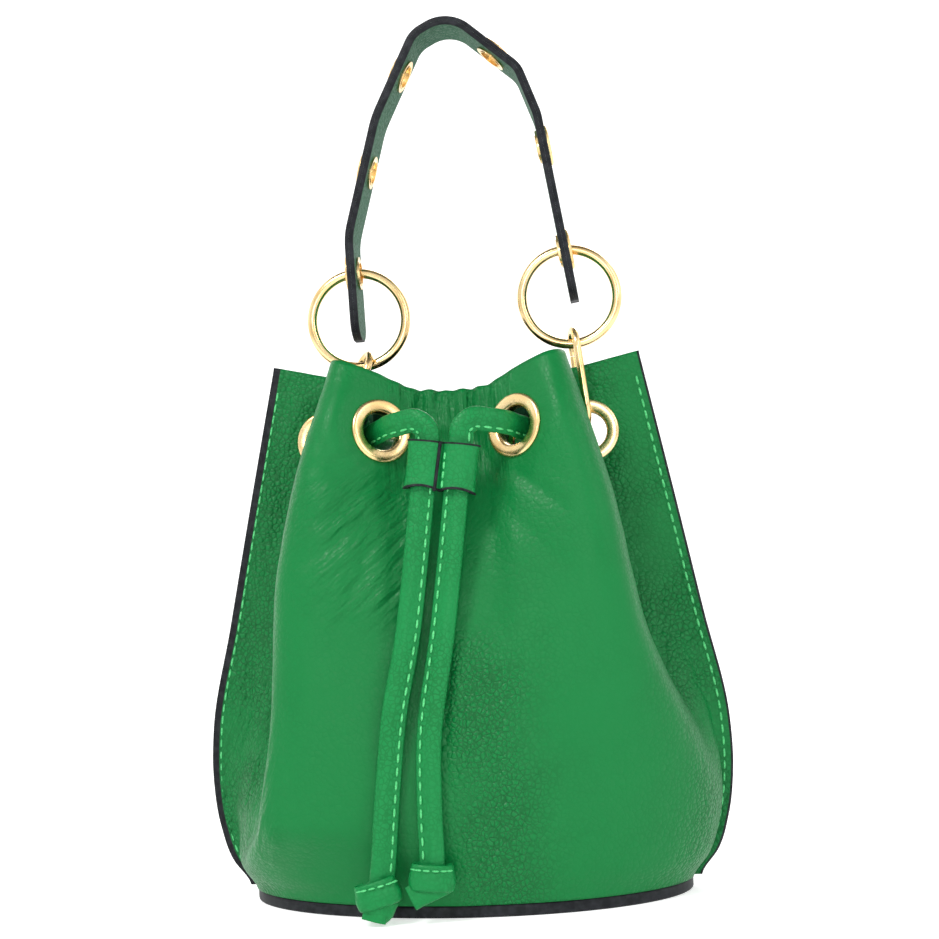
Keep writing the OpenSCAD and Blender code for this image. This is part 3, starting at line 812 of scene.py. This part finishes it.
def hole_mask(p, back):
    """True for points that lie inside a grommet's barrel."""
    q = p * [1, -1 if back else 1, 1]
    inside = np.zeros(len(q), bool)
    for seat, axis, radius in PANEL_GROMMETS:
        v = q - seat
        d = v @ axis
        r = np.linalg.norm(v - d[:, None] * axis, axis=1)
        inside |= (r < radius - HOLE_INSET) & (np.abs(d) < HOLE_REACH)
    return inside


front = finish_piece(panel("front_shell", "front_panel", 0, False), "bag", "panel_leather", "front_panel")
rear = finish_piece(panel("back_shell", "back_panel", 3, True), "bag", "panel_leather", "back_panel")
print("panels:", len(front.data.polygons), "faces each")

# %% [markdown]
# ## Seam thread
# The side seams are two flat allowances sewn together from sole to mouth. The thread is a little lighter than the
# hide and stands on it, so each stitch is a short capsule of a few dozen faces, on the front and on the back.

# %% Seam thread
SEAM_PITCH, SEAM_STITCH, SEAM_INSET = 4.6, 3.4, 3.4
SEAM_FROM, SEAM_TO = 13.0, 197.0


def seam_stitches(side, face):
    z = np.arange(SEAM_FROM, SEAM_TO, 0.2)
    y = face * np.full_like(z, SEAM_Y + LEATHER_T / 2 + 0.15)
    line = np.stack([side * (seam_x(z) - SEAM_INSET), y, z], axis=1)
    along = np.concatenate([[0], np.cumsum(np.linalg.norm(np.diff(line, axis=0), axis=1))])
    begin = np.arange(0, along[-1] - SEAM_STITCH, SEAM_PITCH)

    def at(s):
        return np.stack([np.interp(s, along, line[:, k]) for k in range(3)], axis=1)

    name = "seam_thread_" + ("front" if face < 0 else "back") + ("_left" if side < 0 else "_right")
    ups = np.tile([0.0, face, 0.0], (len(begin), 1))
    return finish_piece(stitches(name, at(begin), at(begin + SEAM_STITCH), ups), "bag", "panel_leather")


seam_threads = [seam_stitches(side, face) for side in (-1, 1) for face in (-1, 1)]
print("seam stitches:", sum(len(s.data.polygons) for s in seam_threads) // len(STITCH_FACES))

# %% [markdown]
# ## Grommets and eyelets
# A grommet is a pressed tube whose end is rolled out into a flange. It is turned on a lathe here: a loop of points
# takes the wall's outline, is spun round the axis, and the turned piece is then laid on its seat in the leather.

# %% Turned hardware
def turned(name, outline, material, steps=72):
    """Spin a closed outline of (radius, height) points, in mm, round Z."""
    deselect()
    bpy.ops.mesh.primitive_circle_add(vertices=len(outline), radius=0.01, fill_type="NOTHING")
    piece = bpy.context.object
    piece.name = piece.data.name = name
    for vertex, (r, h) in zip(piece.data.vertices, outline):
        vertex.co = (r * MM, 0, h * MM)
    bpy.ops.object.mode_set(mode="EDIT")
    bpy.ops.mesh.select_all(action="SELECT")
    bpy.ops.mesh.spin(steps=steps, angle=2 * math.pi, center=(0, 0, 0), axis=(0, 0, 1))
    bpy.ops.mesh.select_all(action="SELECT")
    bpy.ops.mesh.remove_doubles(threshold=1e-6)
    bpy.ops.mesh.normals_make_consistent(inside=False)
    bpy.ops.object.mode_set(mode="OBJECT")
    piece.data.materials.append(material)
    return smooth_by_angle(piece, 40)


def placed_copy(model, name, seat, axis):
    """A copy of a turned piece with its own mesh, standing on seat (mm) and facing along axis."""
    piece = model.copy()
    piece.data = model.data.copy()
    piece.name = piece.data.name = name
    bpy.context.collection.objects.link(piece)
    turn = Vector(tuple(axis)).to_track_quat("Z", "Y").to_matrix().to_4x4()
    piece.data.transform(Matrix.Translation(Vector(tuple(np.asarray(seat) * MM))) @ turn)
    return piece


GROMMET_END = -3.0
grommet_outline = [(12.0, 0.0), (12.1, 0.4), (11.95, 0.9), (11.5, 1.28), (10.8, 1.42), (9.6, 1.32), (8.4, 1.12),
                   (7.8, 0.9), (7.42, 0.35), (7.32, -1.0), (7.3, GROMMET_END), (7.7, GROMMET_END - 0.2),
                   (8.0, GROMMET_END), (8.0, -0.05), (9.5, 0.0)]
grommet_model = turned("grommet_model", grommet_outline, cast_gold)
for node in [n for n in NODES if "grommet_" in n]:
    outside = FRONT if "_front_" in node else -FRONT
    seat, axis, _ = grommet_frame(node, outside)
    finish_piece(placed_copy(grommet_model, node + "_rolled", seat, axis), "bag", "gold_hardware", node)
print("grommets seated")

# %% Strap eyelets
eyelet_outline = [(8.0, 0.0), (8.05, 0.3), (7.8, 0.75), (7.2, 1.05), (6.4, 1.1), (5.6, 0.95),
                  (4.9, 0.55), (4.4, -0.1), (4.22, -0.9), (4.2, -4.4), (4.6, -4.55), (4.8, -4.4),
                  (4.8, -0.05), (6.4, 0.0)]
eyelet_model = turned("eyelet_model", eyelet_outline, cast_gold, 48)
eyelet_seats = []
strap_middle = np.mean([np.array(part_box("strap_outer")[k]) for k in (0, 1)], axis=0) / MM
for k in range(1, 7):
    node = f"eyelet_{k}"
    _, centre, _ = axis_of(node)
    seat, axis, _ = grommet_frame(node, centre - strap_middle * [1, 0, 1] + [0, 0, 30])
    eyelet_seats.append((seat, axis))
    finish_piece(placed_copy(eyelet_model, node + "_rolled", seat, axis), "strap", "gold_hardware", node)
for model in (grommet_model, eyelet_model):
    bpy.data.objects.remove(model)
print("eyelets seated:", [[round(float(v), 1) for v in s] for s, _ in eyelet_seats])

# %% [markdown]
# ## Strap
# Two plies of leather, grain side out, glued back to back and painted black along the cut edge. Each ply is a band
# along the handle's route with a softly rounded edge and a tongue-shaped end, and it has a real hole at every eyelet.

# %% Strap
STRAP_ROUTE = np.array([(-37.7, 215.5), (-39.2, 256), (-27, 302), (-11, 334.5),
                        (3, 342), (29.5, 319), (36.5, 300), (48, 227)])
STRAP_BENDS = [0, 30, 40, 11, 14, 11, 20, 0]
STRAP_W, PLY_T, EDGE_ROUND = 21.0, 1.7, 0.5
STRAP_STEP = 0.75 if FINE else 1.3
EYELET_HOLE, EYELET_REACH = 5.9, 6  # hole radius, and how far from the seat it is looked for


def strap_line():
    """The rounded route in the XZ plane, evenly spaced, with the sideways direction at each point."""
    line = [STRAP_ROUTE[0]]
    for i in range(1, len(STRAP_ROUTE) - 1):
        a, b = unit(STRAP_ROUTE[i] - STRAP_ROUTE[i - 1]), unit(STRAP_ROUTE[i + 1] - STRAP_ROUTE[i])
        turn = math.atan2(a[0] * b[1] - a[1] * b[0], float(a @ b))
        left = np.array([-a[1], a[0]]) * np.sign(turn)
        start = STRAP_ROUTE[i] - STRAP_BENDS[i] * math.tan(abs(turn) / 2) * a
        for k in range(25):
            w = turn * k / 24
            v = -left
            line.append(start + STRAP_BENDS[i] * (left + [v[0] * math.cos(w) - v[1] * math.sin(w),
                                                          v[0] * math.sin(w) + v[1] * math.cos(w)]))
    line.append(STRAP_ROUTE[-1])
    line = np.array(line)
    along = np.concatenate([[0], np.cumsum(np.linalg.norm(np.diff(line, axis=0), axis=1))])
    want = np.linspace(0, along[-1], int(along[-1] / STRAP_STEP) + 1)
    even = np.stack([np.interp(want, along, line[:, k]) for k in (0, 1)], axis=1)
    way = unit(np.gradient(even, axis=0))
    return even, np.stack([-way[:, 1], way[:, 0]], axis=1), want


def strap_ply(name, node, low, high, face_material):
    """One ply, between low and high mm from the strap's middle, with its painted edge and its holes."""
    line, left, s = strap_line()
    end = np.minimum(s, s[::-1])
    half = STRAP_W / 2 * np.sqrt(np.clip(1 - (1 - np.clip(end / 8, 0, 1)) ** 2.4, 0.10, 1))
    cells_across = 30 if FINE else 18
    share = np.linspace(-1, 1, cells_across + 1)
    share = np.concatenate([[-1, -0.975, -0.94], share[1:-1][np.abs(share[1:-1]) < 0.93], [0.94, 0.975, 1]])
    rounding = np.sqrt(np.clip(1 - np.clip((np.abs(share) - 0.93) / 0.07, 0, 1) ** 2, 0, 1)) * EDGE_ROUND
    y = half[:, None] * share[None]
    top_side, centre = (high, low) if abs(high) > abs(low) else (low, high)
    grids = []
    for offset in (top_side - math.copysign(1, top_side) * (EDGE_ROUND - rounding)[None] * np.ones_like(y),
                   centre * np.ones_like(y)):
        xz = line[:, None] + left[:, None] * offset[..., None]
        grids.append(np.stack([xz[..., 0], y, xz[..., 1]], axis=-1))
    n, m = y.shape
    flat = np.concatenate([g.reshape(-1, 3) for g in grids])
    inside = np.zeros(n * m, bool)
    for seat, axis in eyelet_seats:
        v = flat[:n * m] - seat
        depth = v @ axis
        r = np.linalg.norm(v - depth[:, None] * axis, axis=1)
        inside |= (r < EYELET_HOLE) & (np.abs(depth) < EYELET_REACH)
    faces, slots = [], []
    for i in range(n - 1):
        for j in range(m - 1):
            k = i * m + j
            quad = (k, k + 1, k + m + 1, k + m)
            if inside[list(quad)].all():
                continue
            edge = abs(share[j] + share[j + 1]) / 2 > 0.94 or end[i] < 0.6
            faces += [quad, tuple(n * m + q for q in quad[::-1])]
            slots += [1 if edge else 0, 0]
    rim = rim_quads(faces[::2], n * m)
    piece = outward(mesh_object(name, flat * MM, faces + rim, [face_material, paint], slots + [1] * len(rim)))
    smooth_by_angle(piece, 50)
    return finish_piece(piece, "strap", "strap_leather", node), s[-1]


outer_ply, strap_length = strap_ply("strap_outer_ply", "strap_outer", 0.0, PLY_T, strap_face)
lining_ply, _ = strap_ply("strap_lining_ply", "strap_lining", -PLY_T, -0.02, strap_back)
print("strap length", round(float(strap_length)), "mm")

# %% [markdown]
# ## Slider
# A strip of leather is wrapped round both strands, sewn down the middle between them, and slid up to close the bag.
# It is swept from its outline: two round lobes, a pinched middle, and painted cut edges at the top and bottom.

# %% Slider
SLIDER_AT = np.array([-1.3, -56.9, 161.0])
SLIDER_UP = unit([0.13, 0.06, 1])
SLIDER_H, LOBE_X, LOBE_W, LOBE_T, SLIDER_WALL = 18.0, 6.1, 6.6, 4.15, 1.5
SLIDER_PITCH, SLIDER_STITCH = 3.4, 2.6


def slider_outline(shrink, count=96):
    """Two lobes side by side with a pinched middle, as (across, forward) points."""
    a = np.linspace(0, 2 * math.pi, count, endpoint=False)
    x = (LOBE_X + LOBE_W - shrink) * np.cos(a)
    lobe = np.sqrt(np.clip(1 - ((np.abs(x) - LOBE_X) / (LOBE_W - shrink)) ** 2, 0, 1)) ** 0.8
    half = np.maximum((LOBE_T - shrink) * lobe, 0.25 + 0.5 * (shrink == 0))
    return np.stack([x, np.sign(np.sin(a)) * half], axis=1)


def lobe_rise(x):
    """How far the wrap stands forward of its middle plane, x across."""
    return LOBE_T * math.sqrt(max(0.0, 1 - ((abs(x) - LOBE_X) / LOBE_W) ** 2)) ** 0.8


def add_slider():
    side = unit(np.cross([0, 1.0, 0], SLIDER_UP))
    forward = np.cross(SLIDER_UP, side)
    rows = np.concatenate([[-0.5, -0.452], np.linspace(-0.40, 0.46, 12), [0.5]])
    outer, inner = slider_outline(0), slider_outline(SLIDER_WALL)
    loops = []
    for shape, order in ((outer, rows), (inner, rows[::-1])):
        for h in order:
            flare = 1 + 0.05 * (2 * abs(h)) ** 6 * (shape is outer)
            base = SLIDER_AT + SLIDER_UP * SLIDER_H * h
            lobe = np.clip((np.abs(shape[:, :1]) - LOBE_X) / LOBE_W, -1, 1)
            arch = 1.3 * (0.5 - h) * np.cos(lobe * math.pi / 2)
            loops.append(base + (shape[:, :1] * flare) * side + (shape[:, 1:] * flare) * forward
                         + arch * SLIDER_UP)
    points = np.concatenate(loops)
    n, m = len(loops), len(outer)
    faces, slots = [], []
    for i in range(n):
        for j in range(m):
            k, a, b = (i + 1) % n, i * m, (j + 1) % m
            faces.append((a + j, a + b, k * m + b, k * m + j))
            slots.append(1 if i in (0, len(rows) - 2, len(rows) - 1, n - 1) else 0)
    piece = outward(mesh_object("slider_wrap", points * MM, faces, [cord_leather, paint], slots))
    smooth_by_angle(piece, 45)
    finish_piece(piece, "slider", "cord_leather", "slider")
    heights = np.arange(-7.6, 6.0, SLIDER_PITCH)
    down = SLIDER_AT + heights[:, None] * SLIDER_UP + 1.0 * side
    sewn = []
    for face in (-1, 1):
        rise = face * forward * (lobe_rise(1.0) + 0.25)
        ups = np.tile(face * forward, (len(down), 1))
        sewn.append((down + rise, down + rise + SLIDER_STITCH * SLIDER_UP, ups))
    thread_piece = stitches("slider_thread", *[np.concatenate(v) for v in zip(*sewn)])
    finish_piece(thread_piece, "slider", "cord_leather")
    seam = np.linspace(-0.5, 0.5, 14)
    cut = SLIDER_AT + SLIDER_UP * SLIDER_H * seam[:, None] - (1.3 - 0.5 * seam[:, None]) * side
    cut = cut - forward * (lobe_rise(1.3) + 0.1)
    rod = [(0.65 * math.cos(a), 0.7 * math.sin(a)) for a in np.linspace(0, 2 * math.pi, 10, endpoint=False)]
    strip, *_ = swept("slider_cut_edge", cut, np.tile(side, (len(cut), 1)), rod, [paint])
    finish_piece(strip, "slider", "cord_leather")
    return piece


slider_piece = add_slider()
print("slider wrapped")

# %% [markdown]
# ## Sole
# The sole is a thick oval of bonded leather with a black polished edge. A cylinder is stretched to the oval, its rims
# are bevelled, and the underside is inset so that a thin raised border runs round it.

# %% Sole
def add_sole():
    low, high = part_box("base_sole")
    middle = [(a + b) / 2 for a, b in zip(low, high)]
    deselect()
    bpy.ops.mesh.primitive_cylinder_add(vertices=128, radius=0.5, depth=1, location=middle)
    sole = bpy.context.object
    sole.name = sole.data.name = "sole"
    sole.scale = [b - a for a, b in zip(low, high)]
    bpy.ops.object.transform_apply(location=True, rotation=True, scale=True)
    bpy.ops.object.mode_set(mode="EDIT")
    bpy.ops.mesh.select_all(action="DESELECT")
    bpy.ops.object.mode_set(mode="OBJECT")
    for polygon in sole.data.polygons:
        polygon.select = polygon.normal.z < -0.9
    bpy.ops.object.mode_set(mode="EDIT")
    bpy.ops.mesh.inset(thickness=0.004, depth=0)
    bpy.ops.mesh.inset(thickness=0.0006, depth=-0.0006)
    bpy.ops.object.mode_set(mode="OBJECT")
    bevel = sole.modifiers.new("bevel", "BEVEL")
    bevel.width, bevel.segments, bevel.limit_method, bevel.angle_limit = 0.0009, 3, "ANGLE", math.radians(50)
    bpy.ops.object.modifier_apply(modifier=bevel.name)
    sole.data.materials.append(paint)
    smooth_by_angle(sole, 40)
    return finish_piece(sole, "bag", "sole_leather", "base_sole")


sole = add_sole()
print("sole faces", len(sole.data.polygons))

# %% [markdown]
# ## The panel surface again
# The front panel's surface is worked out once more here, and nothing after this uses it.

# %% Panel surface again
grid, _ = panel_surface(0)

# %% [markdown]
# ## Studio
# A plain pale floor curves up into a wall all round. It glows with painted light, brighter behind the bag than in
# front of it. A soft main light stands at the upper left, a weaker one at the right, a low one in front and one
# behind, so that the metal has bright and dark sides. The view transform is Standard, because the default one washes
# out this green.

# %% Studio
def area_light(name, place, target, size, power):
    data = bpy.data.lights.new(name, "AREA")
    data.shape = "RECTANGLE"
    data.size, data.size_y = size
    data.energy = power
    light = bpy.data.objects.new(name, data)
    bpy.context.collection.objects.link(light)
    light.location = place
    light.rotation_euler = (Vector(target) - Vector(place)).to_track_quat("-Z", "Y").to_euler()
    return light


def studio():
    profile_points = [(0.02, 0.0), (1.0, 0.0), (2.4, 0.0), (2.8, 0.05),
                      (3.1, 0.2), (3.3, 0.5), (3.4, 1.0), (3.4, 4.6)]
    turns = 64
    points = [(r * math.cos(2 * math.pi * k / turns), r * math.sin(2 * math.pi * k / turns), z)
              for r, z in profile_points for k in range(turns)]
    faces = [(i * turns + k, i * turns + (k + 1) % turns,
              (i + 1) * turns + (k + 1) % turns, (i + 1) * turns + k)
             for i in range(len(profile_points) - 1) for k in range(turns)]
    faces.append(tuple(range(turns)))
    material, place, shader = new_material("studio_paper")
    _, y, _ = parts_of(place)
    cloudy = noise(place, 3, 2).between(0, 1)
    feed(shader, "Base Color", cloudy.mix((0.86, 0.86, 0.86, 1), (0.90, 0.90, 0.90, 1)))
    # painted light: the floor glows, brightly behind the bag and only faintly in front of it
    feed(shader, "Emission Color", y.between(-2.4, 0.0).mix((0.16, 0.16, 0.16, 1), (1, 1, 1, 1)))
    shader.inputs["Roughness"].default_value = 0.9
    shader.inputs["Emission Strength"].default_value = 0.52
    floor = mesh_object("studio_floor", points, faces, [material])
    world = bpy.data.worlds.new("studio")
    world.use_nodes = True
    world.node_tree.nodes["Background"].inputs["Color"].default_value = (1, 1, 1, 1)
    world.node_tree.nodes["Background"].inputs["Strength"].default_value = 0.22
    bpy.context.scene.world = world
    bpy.context.scene.view_settings.view_transform = "Standard"
    middle = (0, 0, 0.15)
    area_light("key", (-0.55, -0.95, 1.15), middle, (0.35, 0.35), 11.5)
    area_light("fill", (0.95, -0.8, 0.7), middle, (0.25, 0.6), 2.6)
    area_light("front", (0.05, -1.3, 0.30), middle, (0.3, 0.3), 1.8)
    area_light("rim", (0.3, 1.1, 1.0), middle, (0.8, 0.4), 6)


studio()

# %% [markdown]
# ## Finish
# The rings, links, gates, pins, washers and board are shown as they come, so they only need their real finish. Each
# takes the material of its slot in the record.

# %% Finish
FINISHES = {"gold_hardware": polished, "board": board_mat, "sole_leather": paint,
            "cord_leather": cord_leather, "strap_leather": strap_face, "panel_leather": panel_leather}
SLOTS = {s["node"]: s["material_slot"] for s in frame["record"]["subparts"]}
for name, obj in NODES.items():
    obj.data.materials.clear()
    obj.data.materials.append(FINISHES[SLOTS[name]])
